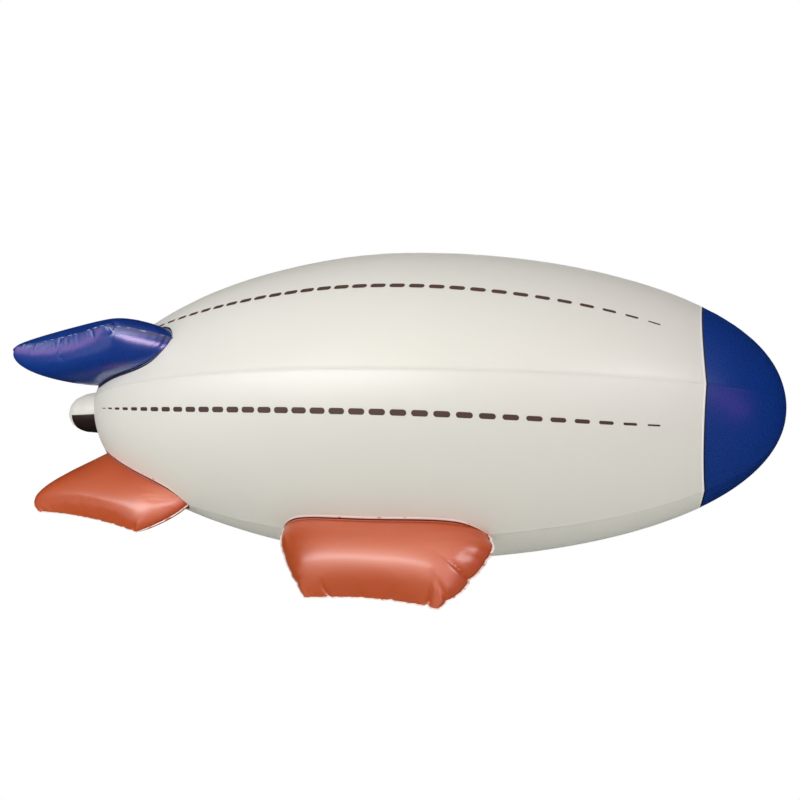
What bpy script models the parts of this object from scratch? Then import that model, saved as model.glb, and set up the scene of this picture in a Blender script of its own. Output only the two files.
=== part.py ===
"""Advertising blimp balloon: an inflated film envelope with four fins and a gondola.

Metres, +X towards the nose, +Y to port, +Z up. The origin is the middle of the envelope's
length, on its axis. Angles round the envelope are counted from straight down, positive
towards starboard (-Y).
"""
import math

import bmesh
import bpy
from mathutils import Matrix, Vector

# Envelope
LENGTH = 3.0
RADIUS = 0.6285
WALL = 0.010
WIDEST_X = 0.008
NOSE_X = LENGTH / 2
TAIL_POLE_X = -1.468
# A half's side line is one cubic curve: its handle's length as a share of the half,
# and its handle's height at the pole as a share of the radius.
NOSE_CURVE = {"end": NOSE_X, "along": 0.351, "across": 0.697}
TAIL_CURVE = {"end": TAIL_POLE_X, "along": 0.320, "across": 0.735}
CAP_X = 1.233
POLE_R = 0.002
PANELS = 6
PANEL_STEPS = 6
PANEL_ANGLE = 2 * math.pi / PANELS
WHITE_NOSE_ROWS = 10
BLUE_ROWS = 8
TAIL_ROWS = 15

# The tail hangs a little under the weight of the fins: it drops with the square of the
# distance behind this station.
SAG_FROM_X = -0.15
SAG_PER_M2 = 0.0245

# Gap between pieces that touch
GAP = 0.0003

# Tail end: a sleeve through the hole where the tail ends of the panels meet
SLEEVE_R = 0.107
SLEEVE_ROOT_X = -1.440
SLEEVE_OUTLINE = (  # x, radius of the outside, root to end
    (SLEEVE_ROOT_X, SLEEVE_R),
    (-1.480, SLEEVE_R),
    (-1.570, 0.105),
    (-1.640, 0.098),
    (-1.685, 0.084),
    (-1.712, 0.062),
    (-1.722, 0.040),
)
SLEEVE_WALL = 0.008
SLEEVE_END_X = -1.722
SLEEVE_LIP = 0.003

# Filling valve in the middle of the tail end's flat
VALVE_STEM_R = 0.022
VALVE_FLANGE_R = 0.036
VALVE_FLANGE = 0.004
VALVE_CAP_R = 0.028
VALVE_CAP = 0.014
VALVE_STEM = 0.030
VALVE_SIDES = 24

# Dark patch on the underside of the tail end
PATCH_HALF_ANGLE = math.radians(42.5)
PATCH_X = (-1.662, -1.485)
PATCH_THICK = 0.0015
PATCH_STEPS = 8

# Pillows: two sheets welded together round a flat rim
RIM_WIDTH = 0.012
RIM_HALF = 0.0012

# Fin outline in the fin's own plane: x, distance from the axis
FIN_ROOT_FRONT = (-0.685, 0.500)
FIN_FRONT_BEND = (-0.768, 0.607)
FIN_TIP_FRONT = (-0.905, 0.692)
FIN_OUTER_MID = (-1.205, 0.632)
FIN_TIP_REAR = (-1.510, 0.607)
FIN_REAR_HANDLES = ((-1.410, 0.350), (-1.720, 0.545))
FIN_ROOT_REAR = (-1.280, 0.225)
# The side fins droop. A fin's plane leaves the envelope at its root angle, through a line
# at this distance from the axis, and runs out at its lean; the rear hangs lower by a slope.
# They are also fuller than the upright pair, which draws the ends of their outer edge in.
FIN_HINGE_R = 0.45
FIN_SLOPE_FROM_X = -0.75
FINS = (  # name, material, root angle, lean (degrees from straight down), slope, draw-in, half thicknesses
    ("fin_bottom", "orange", 0, 0, 0.0, 0.0, (0.095, 0.078)),
    ("fin_starboard", "blue", 81.3, 70.3, 0.023, 0.024, (0.105, 0.093)),
    ("fin_port", "blue", -81.3, -70.3, 0.023, 0.024, (0.105, 0.093)),
    ("fin_top", "orange", 180, 180, 0.0, 0.0, (0.095, 0.078)),
)

# Gondola outline in the upright middle plane: x, distance below the axis
GONDOLA_TOP_REAR = (-0.298, 0.560)
GONDOLA_REAR_BEND = (-0.168, 0.738)
GONDOLA_BOTTOM_REAR = (-0.038, 0.880)
GONDOLA_BOTTOM_MID = (0.205, 0.857)
GONDOLA_BOTTOM_FRONT = (0.465, 0.852)
GONDOLA_FRONT_BEND = (0.560, 0.710)
GONDOLA_TOP_FRONT = (0.598, 0.560)
GONDOLA_THICK = (0.098, 0.088)
# How square a pillow's section is along its length and towards its outer edge
PILLOW_END_POWER = 3.5
PILLOW_OUT_POWER = 4

COLOURS = {  # name: red, green, blue, roughness
    "white": (0.80, 0.79, 0.76, 0.35),
    "blue": (0.010, 0.045, 0.26, 0.30),
    "orange": (0.62, 0.13, 0.035, 0.35),
    "dark": (0.018, 0.010, 0.009, 0.50),
    "grey": (0.55, 0.55, 0.54, 0.45),
}


def clear_scene():
    for thing in list(bpy.data.objects):
        bpy.data.objects.remove(thing, do_unlink=True)


def new_collection(name):
    group = bpy.data.collections.new(name)
    bpy.context.scene.collection.children.link(group)
    return group


def material(colour, node):
    red, green, blue, roughness = COLOURS[colour]
    paint = bpy.data.materials.new(f"{node}_{colour}_film")
    paint.use_nodes = True
    shader = paint.node_tree.nodes["Principled BSDF"]
    shader.inputs["Base Color"].default_value = (red, green, blue, 1.0)
    shader.inputs["Roughness"].default_value = roughness
    shader.inputs["Metallic"].default_value = 0.0
    return paint


def sag(x):
    """Drop of the envelope's axis at station x."""
    return SAG_PER_M2 * max(0.0, SAG_FROM_X - x) ** 2


def outward(angle):
    """Unit vector away from the axis, at an angle from straight down towards starboard."""
    return Vector((0.0, -math.sin(angle), -math.cos(angle)))


def add_object(name, bm, colour, group):
    """Finish a mesh: let the tail sag, turn the faces outwards and link the object."""
    for vert in bm.verts:
        vert.co.z -= sag(vert.co.x)
    bmesh.ops.recalc_face_normals(bm, faces=bm.faces)
    mesh = bpy.data.meshes.new(name)
    bm.to_mesh(mesh)
    bm.free()
    mesh.shade_smooth()
    mesh.set_sharp_from_angle(angle=math.radians(40))
    thing = bpy.data.objects.new(name, mesh)
    group.objects.link(thing)
    if colour:
        mesh.materials.append(material(colour, name))
    return thing


def side_point(curve, share):
    """Point and outward normal of the envelope's side line, from widest place to pole."""
    run = curve["end"] - WIDEST_X
    handles = (
        Vector((WIDEST_X, RADIUS)),
        Vector((WIDEST_X + curve["along"] * run, RADIUS)),
        Vector((curve["end"], curve["across"] * RADIUS)),
        Vector((curve["end"], 0.0)),
    )
    rest = 1 - share
    weights = (rest ** 3, 3 * rest ** 2 * share, 3 * rest * share ** 2, share ** 3)
    slopes = (
        -3 * rest ** 2,
        3 * rest ** 2 - 6 * rest * share,
        6 * rest * share - 3 * share ** 2,
        3 * share ** 2,
    )
    point = sum((w * h for w, h in zip(weights, handles)), Vector((0, 0)))
    along = sum((w * h for w, h in zip(slopes, handles)), Vector((0, 0))).normalized()
    normal = Vector((-along.y, along.x))
    if normal.y < 0 or (normal.y == 0 and normal.x * run < 0):
        normal = -normal
    return point, normal


def share_where(curve, test):
    """Smallest share along the side line at which the test of the point holds."""
    low, high = 0.0, 1.0
    for _ in range(50):
        middle = (low + high) / 2
        if test(side_point(curve, middle)[0]):
            high = middle
        else:
            low = middle
    return high


def side_line(curve, start, stop, rows):
    return [side_point(curve, start + (stop - start) * i / rows) for i in range(rows + 1)]


def skin_lines():
    """Side lines of the white and of the blue panels, tail to nose."""
    cap = share_where(NOSE_CURVE, lambda p: p.x >= CAP_X)
    pole = share_where(NOSE_CURVE, lambda p: p.y <= POLE_R)
    hole = share_where(TAIL_CURVE, lambda p: p.y <= SLEEVE_R + GAP)
    tail = side_line(TAIL_CURVE, 0.0, hole, TAIL_ROWS)
    front = side_line(NOSE_CURVE, 0.0, cap, WHITE_NOSE_ROWS)
    white = tail[::-1] + front[1:]
    blue = side_line(NOSE_CURVE, cap, pole, BLUE_ROWS)
    return white, blue


def wall_section(line, first_shift, last_shift, straight_start=False, straight_stop=False):
    """Closed section of a wall whose outside is the line; its ends move along x."""
    outside = [point.copy() for point, _ in line]
    inside = [point - WALL * normal for point, normal in line]
    for points in (outside, inside):
        points[0].x += first_shift
        points[-1].x += last_shift
    if straight_start:
        inside[0].y = outside[0].y
    if straight_stop:
        inside[-1].y = outside[-1].y
    return outside + inside[::-1]


def add_ring(bm, section, angle):
    """One section, placed at an angle round the axis, as a closed loop of edges."""
    away = outward(angle)
    verts = [bm.verts.new(Vector((p.x, 0, 0)) + p.y * away) for p in section]
    edges = [bm.edges.new((verts[i - 1], verts[i])) for i in range(len(verts))]
    return verts, edges


def spin(bm, verts, edges, angle, steps, full=False):
    """Turn a section about the axis; positive angles run towards starboard."""
    result = bmesh.ops.spin(
        bm, geom=verts + edges, cent=(0, 0, 0), axis=(1, 0, 0), angle=-angle, steps=steps, use_merge=full
    )
    return [item for item in result["geom_last"] if isinstance(item, bmesh.types.BMVert)]


def close_end(bm, ring):
    """Close a wall's end with one face for each step along it."""
    count = len(ring)
    for i in range(count // 2 - 1):
        bm.faces.new((ring[i], ring[i + 1], ring[count - 2 - i], ring[count - 1 - i]))


def panel(name, section, number, colour, group):
    """One lengthwise panel between two seams, half a gap short of each."""
    bm = bmesh.new()
    start = number * PANEL_ANGLE
    stop = start + PANEL_ANGLE
    first, edges = add_ring(bm, section, start)
    last = spin(bm, first, edges, PANEL_ANGLE, PANEL_STEPS)
    for verts, angle, sign in ((first, start, 1), (last, stop, -1)):
        sideways = outward(angle + math.pi / 2) * sign
        for vert in verts:
            vert.co += sideways * GAP / 2
        close_end(bm, verts)
    return add_object(name, bm, colour, group)


def turned(name, outline, steps, colour, group):
    """A closed ring-shaped solid turned from its section."""
    bm = bmesh.new()
    verts, edges = add_ring(bm, [Vector(p) for p in outline], 0.0)
    spin(bm, verts, edges, 2 * math.pi, steps, full=True)
    bmesh.ops.remove_doubles(bm, verts=bm.verts, dist=0.00001)
    return add_object(name, bm, colour, group)


def tail_sleeve(group):
    outside = [Vector(p) for p in SLEEVE_OUTLINE]
    inside = []
    for i, point in enumerate(outside):
        before = outside[max(i - 1, 0)]
        after = outside[min(i + 1, len(outside) - 1)]
        along = (after - before).normalized()
        inside.append(point - SLEEVE_WALL * Vector((along.y, -along.x)))
    inside[0].x = SLEEVE_ROOT_X
    hole = VALVE_STEM_R + GAP
    outside.append(Vector((SLEEVE_END_X, hole)))
    inside[-1] = Vector((SLEEVE_END_X + SLEEVE_WALL, outside[-2].y - SLEEVE_LIP))
    inside.append(Vector((SLEEVE_END_X + SLEEVE_WALL, hole)))
    turned("tail_end", outside + inside[::-1], PANELS * PANEL_STEPS, "white", group)


def filling_valve(group):
    seat = SLEEVE_END_X - GAP
    outline = (
        (SLEEVE_END_X + VALVE_STEM, 0.0),
        (SLEEVE_END_X + VALVE_STEM, VALVE_STEM_R),
        (seat, VALVE_STEM_R),
        (seat, VALVE_FLANGE_R),
        (seat - VALVE_FLANGE, VALVE_FLANGE_R),
        (seat - VALVE_FLANGE, VALVE_CAP_R),
        (seat - VALVE_CAP, VALVE_CAP_R),
        (seat - VALVE_CAP, 0.0),
    )
    bm = bmesh.new()
    verts = [bm.verts.new((x, 0, -r)) for x, r in outline]
    edges = [bm.edges.new((verts[i], verts[i + 1])) for i in range(len(verts) - 1)]
    spin(bm, verts, edges, 2 * math.pi, VALVE_SIDES, full=True)
    bmesh.ops.remove_doubles(bm, verts=bm.verts, dist=0.00001)
    add_object("filling_valve", bm, "grey", group)


def sleeve_radius(x):
    """Radius of the tail end's outside at station x."""
    for (x0, r0), (x1, r1) in zip(SLEEVE_OUTLINE, SLEEVE_OUTLINE[1:]):
        if x1 <= x <= x0:
            return r0 + (r1 - r0) * (x0 - x) / (x0 - x1)
    return SLEEVE_OUTLINE[-1][1]


def tail_patch(group):
    stations = [x for x, _ in SLEEVE_OUTLINE if PATCH_X[0] < x < PATCH_X[1]]
    stations = [PATCH_X[1]] + stations + [PATCH_X[0]]
    lift = 2 * GAP
    low = [Vector((x, sleeve_radius(x) + lift)) for x in stations]
    high = [Vector((x, sleeve_radius(x) + lift + PATCH_THICK)) for x in stations]
    bm = bmesh.new()
    verts, edges = add_ring(bm, low + high[::-1], -PATCH_HALF_ANGLE)
    last = spin(bm, verts, edges, 2 * PATCH_HALF_ANGLE, PATCH_STEPS)
    close_end(bm, verts)
    close_end(bm, last)
    add_object("tail_patch", bm, "dark", group)


def bent_line(start, middle, stop, share):
    """Curve from start to stop that passes through middle half way."""
    control = 2 * Vector(middle) - (Vector(start) + Vector(stop)) / 2
    rest = 1 - share
    return rest * rest * Vector(start) + 2 * rest * share * control + share * share * Vector(stop)


def cubic_line(start, first_handle, second_handle, stop, share):
    rest = 1 - share
    weights = (rest ** 3, 3 * rest ** 2 * share, 3 * rest * share ** 2, share ** 3)
    points = (start, first_handle, second_handle, stop)
    return sum((w * Vector(p) for w, p in zip(weights, points)), Vector((0, 0)))


def side_at(side, share):
    """Point along a side: three points are a bend through the middle one, four a cubic."""
    return bent_line(*side, share) if len(side) == 3 else cubic_line(*side, share)


def mid(a, b):
    return ((a[0] + b[0]) / 2, (a[1] + b[1]) / 2)


def pillow(name, sides, thickness, stance, colour, cutter, group, columns=16, rows=10):
    """Two sheets welded round a flat rim, open towards the envelope, which cuts its root.

    sides holds four lines: root and outer run front to rear, front and rear run from the
    root outwards. thickness is half of it, at its fullest and at the root. stance is the
    root's angle, the lean of the pillow's plane, the radius at which they cross and the
    slope by which the rear hangs lower.
    """
    half_thick, root_half_thick = thickness
    root_angle, lean, hinge, slope = stance
    bm = bmesh.new()
    bmesh.ops.create_grid(bm, x_segments=columns, y_segments=rows, size=0.5)
    chord = (Vector(sides["outer"][0]) - Vector(sides["outer"][2])).length
    span = (Vector(sides["front"][0]) - Vector(sides["front"][2])).length
    rim_u = RIM_WIDTH / chord
    rim_v = RIM_WIDTH / span

    def spread(share):
        """Even shares to shares that crowd towards both ends, past one rim cell each."""
        cell = 1 / columns
        if share <= cell:
            return share / cell * rim_u
        if share >= 1 - cell:
            return 1 - (1 - share) / cell * rim_u
        inner = (share - cell) / (1 - 2 * cell)
        return rim_u + (1 - 2 * rim_u) * (1 - math.cos(math.pi * inner)) / 2

    def spread_out(share):
        """The same towards the outer edge only."""
        cell = 1 / rows
        if share >= 1 - cell:
            return 1 - (1 - share) / cell * rim_v
        return (1 - rim_v) * math.sin(math.pi / 2 * share / (1 - cell))

    for vert in bm.verts:
        u = spread(vert.co.x + 0.5)
        v = spread_out(vert.co.y + 0.5)
        root = side_at(sides["root"], u)
        outer = side_at(sides["outer"], u)
        front = side_at(sides["front"], v)
        rear = side_at(sides["rear"], v)
        corners = (
            (1 - u) * (1 - v) * Vector(sides["root"][0])
            + u * (1 - v) * Vector(sides["root"][-1])
            + (1 - u) * v * Vector(sides["outer"][0])
            + u * v * Vector(sides["outer"][-1])
        )
        place = (1 - v) * root + v * outer + (1 - u) * front + u * rear - corners
        across = min(max((u - rim_u) / (1 - 2 * rim_u), 0.0), 1.0)
        out = min(v / (1 - rim_v), 1.0)
        ends = math.sqrt(max(0.0, 1 - abs(2 * across - 1) ** PILLOW_END_POWER))
        tip = math.sqrt(max(0.0, 1 - out ** PILLOW_OUT_POWER))
        thick = root_half_thick + (half_thick - root_half_thick) * math.sin(math.pi * out) ** 2
        vert.co = Vector((place.x, place.y, RIM_HALF + thick * ends * tip))
    border = [edge for edge in bm.edges if edge.is_boundary]
    wall = bmesh.ops.extrude_edge_only(bm, edges=border)
    for item in wall["geom"]:
        if isinstance(item, bmesh.types.BMVert):
            item.co.z = 0.0
    geometry = bm.verts[:] + bm.edges[:] + bm.faces[:]
    bmesh.ops.mirror(bm, geom=geometry, merge_dist=0.00005, axis="Z")
    away = outward(lean)
    sideways = Vector((1, 0, 0)).cross(away)
    stand = Matrix((Vector((1, 0, 0)), away, sideways)).transposed().to_4x4()
    stand.translation = hinge * (outward(root_angle) - away)
    bmesh.ops.transform(bm, matrix=stand, verts=bm.verts)
    for vert in bm.verts:
        vert.co.z -= slope * (FIN_SLOPE_FROM_X - vert.co.x)
    thing = add_object(name, bm, colour, group)
    trim = thing.modifiers.new("trim_to_envelope", "BOOLEAN")
    trim.operation = "DIFFERENCE"
    trim.solver = "EXACT"
    trim.object = cutter
    return thing


def envelope_cutter(white, blue, group):
    """The envelope's outside, a little more than a gap larger, closed at both ends."""
    clear = 1.5 * GAP
    line = [point + clear * normal for point, normal in white + blue[1:]]
    line = [Vector((line[0].x, 0.0))] + line + [Vector((line[-1].x, 0.0))]
    bm = bmesh.new()
    verts = [bm.verts.new((p.x, 0, -p.y)) for p in line]
    edges = [bm.edges.new((verts[i], verts[i + 1])) for i in range(len(verts) - 1)]
    spin(bm, verts, edges, 2 * math.pi, PANELS * PANEL_STEPS, full=True)
    bmesh.ops.remove_doubles(bm, verts=bm.verts, dist=0.00001)
    cutter = add_object("envelope_cutter", bm, None, group)
    cutter.hide_render = True
    cutter.display_type = "WIRE"
    return cutter


def moved(point, shift):
    """The point, moved along x."""
    return (point[0] + shift, point[1])


def fins(cutter, group):
    for name, colour, root_angle, lean, slope, draw_in, thickness in FINS:
        tip_front = moved(FIN_TIP_FRONT, -draw_in)
        tip_rear = moved(FIN_TIP_REAR, draw_in)
        first_handle, second_handle = FIN_REAR_HANDLES
        sides = {
            "root": (FIN_ROOT_FRONT, mid(FIN_ROOT_FRONT, FIN_ROOT_REAR), FIN_ROOT_REAR),
            "outer": (tip_front, FIN_OUTER_MID, tip_rear),
            "front": (FIN_ROOT_FRONT, moved(FIN_FRONT_BEND, -draw_in / 2), tip_front),
            "rear": (FIN_ROOT_REAR, first_handle, moved(second_handle, draw_in), tip_rear),
        }
        stance = (math.radians(root_angle), math.radians(lean), FIN_HINGE_R, slope)
        pillow(name, sides, thickness, stance, colour, cutter, group)


def gondola(cutter, group):
    sides = {
        "root": (GONDOLA_TOP_FRONT, mid(GONDOLA_TOP_FRONT, GONDOLA_TOP_REAR), GONDOLA_TOP_REAR),
        "outer": (GONDOLA_BOTTOM_FRONT, GONDOLA_BOTTOM_MID, GONDOLA_BOTTOM_REAR),
        "front": (GONDOLA_TOP_FRONT, GONDOLA_FRONT_BEND, GONDOLA_BOTTOM_FRONT),
        "rear": (GONDOLA_TOP_REAR, GONDOLA_REAR_BEND, GONDOLA_BOTTOM_REAR),
    }
    pillow("gondola", sides, GONDOLA_THICK, (0.0, 0.0, 0.0, 0.0), "orange", cutter, group)


def main():
    clear_scene()
    balloon = new_collection("blimp_balloon")
    cutters = new_collection("cutters")
    white, blue = skin_lines()
    white_section = wall_section(white, 0.0, -GAP / 2, straight_start=True)
    blue_section = wall_section(blue, GAP / 2, 0.0, straight_stop=True)
    for number in range(PANELS):
        panel(f"envelope_panel_{number + 1}", white_section, number, "white", balloon)
        panel(f"nose_panel_{number + 1}", blue_section, number, "blue", balloon)
    tail_sleeve(balloon)
    filling_valve(balloon)
    tail_patch(balloon)
    cutter = envelope_cutter(white, blue, cutters)
    fins(cutter, balloon)
    gondola(cutter, balloon)


main()
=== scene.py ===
"""Looks of an advertising blimp balloon: welded PVC film, printed dashes, inflated fins and gondola.

Metres, +X towards the nose, +Y to port, +Z up. Angles round the envelope are counted in
degrees from straight down, positive towards starboard (-Y).
"""
import math

import bmesh
import bpy
import numpy as np
from mathutils import Matrix, Quaternion, Vector, noise


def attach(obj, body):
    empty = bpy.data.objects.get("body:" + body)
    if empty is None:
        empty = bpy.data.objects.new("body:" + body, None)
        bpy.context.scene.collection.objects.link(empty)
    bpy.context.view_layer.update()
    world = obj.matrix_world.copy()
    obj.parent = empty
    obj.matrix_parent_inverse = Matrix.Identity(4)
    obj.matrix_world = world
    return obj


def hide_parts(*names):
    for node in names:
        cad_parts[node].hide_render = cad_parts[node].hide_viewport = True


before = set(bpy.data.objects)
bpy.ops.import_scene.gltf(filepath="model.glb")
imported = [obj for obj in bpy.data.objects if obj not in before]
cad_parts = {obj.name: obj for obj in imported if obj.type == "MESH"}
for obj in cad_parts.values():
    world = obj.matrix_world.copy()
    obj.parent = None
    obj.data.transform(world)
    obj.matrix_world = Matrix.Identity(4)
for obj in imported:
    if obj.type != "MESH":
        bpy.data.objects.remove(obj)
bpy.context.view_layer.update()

bl_info = {
    "name": "Blimp Balloon",
    "version": (1, 0, 0),
    "blender": (4, 5, 0),
    "location": "View3D > Sidebar > Blimp",
    "description": "Builds an inflated film blimp with welded seams, fins and a gondola",
    "category": "Add Mesh",
}

MM = 0.001
# Smaller than any real distance or share
TINY = 1e-6

# Envelope: each half's side line is one cubic curve from the widest place to its pole
RADIUS = 0.6285
WIDEST_X = 0.008
NOSE_POLE_X = 1.5
TAIL_POLE_X = -1.468
NOSE_HANDLES = (0.351, 0.697)
TAIL_HANDLES = (0.320, 0.735)
BORDER_X = 1.233
BORDER_LINE = 5 * MM
# Rows of the mesh beside the border, in widths of its line, and how wide the line is drawn: a painted
# highlight on the white side, a dark line on the blue side
BORDER_ROWS = (0.0, 1.0, 1.3)
ON_BORDER = 1.1
# How far the border bends within a gore, and how far from it the gores' rows follow
BORDER_BEND = 7 * MM
BORDER_REACH = 0.12
SLEEVE_R = 0.107
SAG_FROM_X = -0.15
SAG_PER_M2 = 0.0245
GORES = 6
GORE_ANGLE = 360.0 / GORES
LINE_POINTS = 400
# Where the envelope is narrower than this, a gore's flatness and wrinkles fade out
POLE_FADE_R = 0.30
WELD_SLOPE = 1.5 * MM
# Welds are wrinkled in some stretches and smooth in others: the length of a stretch, how sharply
# they part and how many are wrinkled
WRINKLED_STRETCH = 0.13
WRINKLED_CONTRAST = 1.6
WRINKLED_SHARE = 0.25
# Slow waves of the skin in a metre along it, and in a radius round it
WAVES_ALONG = 1.9
WAVES_ROUND = 1.4
# Degrees: a point so near a seam is on it, and a gore's own skin starts so far inside its seam
ON_SEAM = 0.1
INSIDE_SEAM = 0.0005

# Columns of a gore: stretches of degrees and the number of steps in each, seam to seam
GORE_STRETCHES = ((0.5, 3), (3.5, 7), (52.0, 18), (3.5, 7), (0.5, 3))

# Tail end, root to end: station, radius
SLEEVE_OUTLINE = (
    (-1.440, 0.107),
    (-1.480, 0.107),
    (-1.570, 0.105),
    (-1.640, 0.098),
    (-1.685, 0.084),
    (-1.712, 0.062),
    (-1.722, 0.040),
)
SLEEVE_MOUTH = (-1.7222, 0.024)
SLEEVE_WAVE = 1.2 * MM
SLEEVE_WAVES_PER_M = 22
# Closer to the axis than this the sleeve doesn't wave
SLEEVE_WAVE_FROM_R = 10 * MM
# Mesh rows and steps round the axis of the sleeve and of the patch, whose rows run on past it,
# and how many points stand for a row while its outline is rounded
SLEEVE_CELLS = (40, 72)
PATCH_CELLS = (60, 32)
OUTLINE_FINENESS = 40
PATCH_HALF_ANGLE = 42.5
PATCH_X = (-1.662, -1.485)
PATCH_LIFT = 1.6 * MM
PATCH_THICKNESS = 1.0 * MM

# Fin outline in the fin's own plane: station, distance from the axis
FIN_ROOT_FRONT = (-0.685, 0.500)
FIN_FRONT_BEND = (-0.768, 0.607)
FIN_TIP_FRONT = (-0.905, 0.692)
FIN_OUTER_MID = (-1.205, 0.632)
FIN_TIP_REAR = (-1.510, 0.607)
SIDE_FIN_REAR_HANDLES = ((-1.410, 0.350), (-1.720, 0.545))
UPRIGHT_FIN_REAR_HANDLES = ((-1.425, 0.398), (-1.740, 0.498))
FIN_ROOT_REAR = (-1.280, 0.225)
FIN_HINGE_R = 0.45
FIN_SLOPE_FROM_X = -0.75
# Gondola outline in the upright middle plane: station, distance below the axis
GONDOLA_TOP_REAR = (-0.298, 0.560)
GONDOLA_REAR_HANDLES = ((-0.225, 0.691), (-0.141, 0.797))
GONDOLA_BOTTOM_REAR = (-0.031, 0.890)
GONDOLA_BOTTOM_MID = (0.205, 0.861)
GONDOLA_BOTTOM_FRONT = (0.457, 0.866)
GONDOLA_FRONT_HANDLES = ((0.621, 0.658), (0.546, 0.760))
GONDOLA_TOP_FRONT = (0.598, 0.560)

# Creases that run in from a pillow's rim: side, share along it (front to rear, root to outer),
# depth, reach inwards, half width and pull on the rim in millimetres, then the drift along the
# rim for each length inwards. A negative pull is a lobe between two creases.
GONDOLA_CREASES = (
    ("outer", 0.095, 9, 62, 4.5, 6, 0.25),
    ("outer", 0.035, 0, 40, 12, -5, 0.0),
    ("outer", 0.80, 7, 22, 4, 6, 0.10),
    ("outer", 0.55, 2, 14, 6, 3, 0.0),
    ("outer", 0.34, 2, 14, 6, 3, 0.0),
    ("front", 0.90, 8, 45, 5, 6, -0.9),
    ("front", 0.64, 10, 55, 4.5, 9, -0.6),
    ("front", 0.78, 0, 40, 20, -4, 0.0),
    ("front", 0.39, 0, 10, 5, 3, 0.0),
    ("front", 0.14, 0, 10, 5, 3, 0.0),
    ("rear", 0.82, 4, 20, 5, 6, -0.2),
)
SIDE_FIN_CREASES = (
    ("outer", 0.015, 7, 30, 4.5, 5, 0.3),
    ("front", 0.85, 7, 42, 4.5, 5, 0.15),
    ("front", 0.26, 2, 12, 4, 3, 0.0),
    ("outer", 0.17, 3, 28, 4, 3, 0.2),
    ("outer", 0.52, 2, 14, 4, 2, 0.1),
    ("outer", 0.80, 2, 14, 4, 2, 0.0),
)
UPRIGHT_FIN_CREASES = (
    ("outer", 0.05, 6, 40, 5, 5, 0.3),
    ("front", 0.15, 2, 14, 4, 3, -0.3),
    ("outer", 0.14, 3, 14, 5, 4, 0.0),
    ("outer", 0.24, 2, 12, 5, 4, 0.0),
    ("outer", 0.38, 2, 12, 5, 3, 0.0),
)
# Ends of the root drawn in and corners rounded, front and rear, in millimetres
GONDOLA_DRAW = ((20, 19), (3, 3))
FIN_DRAW = ((4, 8), (3, 2))
# How far the corners are hipped, as the sides of a pillow meet there, and how sharply
HIP_SHARE = 0.6
HIP_POWER = 6
ROOT_SINK = 2 * MM
ROOT_DRAW_REACH = 38 * MM
# Strip that welds a pillow to the envelope: for each row its share of the width and its height
# over the skin in millimetres, edge to groove, then the share of the width that the strip keeps
# at its ends, and how far along it they reach
FOOT_PROFILE = ((1.0, -2.0), (0.97, 1.2), (0.62, 1.2), (0.54, 0.8), (0.0, 0.6))
FOOT_ROWS = len(FOOT_PROFILE)
FOOT_END_SHARE = 0.3
FOOT_END_REACH = 0.12
# Width of each strip, and whether its edge gets a painted glint; the rest of the strip, or all of it
# without the glint, gets painted shade
GONDOLA_FOOT = (20 * MM, True)
UPRIGHT_FIN_FOOT = (32 * MM, True)
SIDE_FIN_FOOT = (12 * MM, False)

# Printed dashes, all placed by arc length along the side line from the tail pole
DASH_COUNT = 33
DASH_FIRST_ARC = 0.534
DASH_PITCH = 0.0717
DASH_MIDDLE_ARC = 1.70
DASH_REACH = 1.25
DASH_SHORTENING = 0.40
DASH_END_ROUNDING = 0.499
DASH_MOST_BORDER = 0.3
# Shares of a dash's length and height at which it is cut, so that it can bend with the skin
DASH_CUTS_ALONG = (-0.3, -0.15, 0.0, 0.15, 0.3)
DASH_CUTS_ACROSS = (-0.17, 0.17)
# Angle at the middle and its change at this distance from there: first, second, third power
DASH_TURN_REACH = 1.12
DASH_LINES = (
    ("lower", 47.1, (-0.77, -2.1, -3.13)),
    ("upper", 91.9, (0.34, 0.08, -4.72)),
)

# Form of a pillow: half thickness at its fullest and at the root, then for each sheet the power
# and the roundness with which it closes towards its front and its rear, then how much thinner
# the first sheet's root is half way along. Side fins lie with the first sheet below.
GONDOLA_ENDS = ((3.3, 0.68), (3.3, 0.68))
SIDE_FIN_LOWER_ENDS = ((3.2, 0.54), (3.4, 0.5))
SIDE_FIN_UPPER_ENDS = ((2.44, 0.76), (2.44, 0.76))
UPRIGHT_FIN_ENDS = ((2.6, 0.6), (2.6, 0.6))
GONDOLA_FORM = (0.097, 0.0726, {1: GONDOLA_ENDS, -1: GONDOLA_ENDS}, 0.0)
SIDE_FIN_FORM = (0.113, 0.0583, {1: SIDE_FIN_LOWER_ENDS, -1: SIDE_FIN_UPPER_ENDS}, 0.65)
UPRIGHT_FIN_FORM = (0.086, 0.0520, {1: UPRIGHT_FIN_ENDS, -1: UPRIGHT_FIN_ENDS}, 0.0)
ROOT_DIP_AT = 0.52
ROOT_DIP_REACH = 0.27
# Search for a pillow's root: its furthest share out, and how often the range is halved
ROOT_FURTHEST = 0.95
ROOT_HALVINGS = 26

# Cells across a pillow's rim, and how evenly the cells between two rims, and between root and
# rim, are spread: from 0, crowded at both ends, to 1
RIM_CELLS = 3
EVEN_ALONG = 0.55
EVEN_OUT = 0.45
# Creases: how sharp their valleys are, how they widen inwards, and how wide they pull on the rim
CREASE_SHARPNESS = 1.4
CREASE_WIDENING = 0.5
PULL_WIDTH = 1.5
# Small creases: how far they stray from an even spacing, how strong they are and how unevenly,
# how sharp their valleys are, and how far the faintest and the rest reach inwards
CREASE_STRAY = 0.9
CREASE_STRENGTH = 0.35
CREASE_UNEVEN = 1.1
VALLEY_SHARPNESS = 2.2
CREASE_REACH = 0.020
CREASE_MORE_REACH = 0.025
# How far inwards a crease pulls on the rim, the edge's frill and the rim's waves reach
PULL_REACH = 0.022
FRILL_REACH = 0.012
FRILL_LENGTH = 0.016
WAVE_REACH = 0.018
WAVE_LENGTH = 0.030
# Beside the root the film is held, and it is free to ripple from the second distance on
ROOT_HOLD_REACH = 0.03
ROOT_FREE_REACH = 0.11
DEEPEST_CREASE = 0.75
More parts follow.
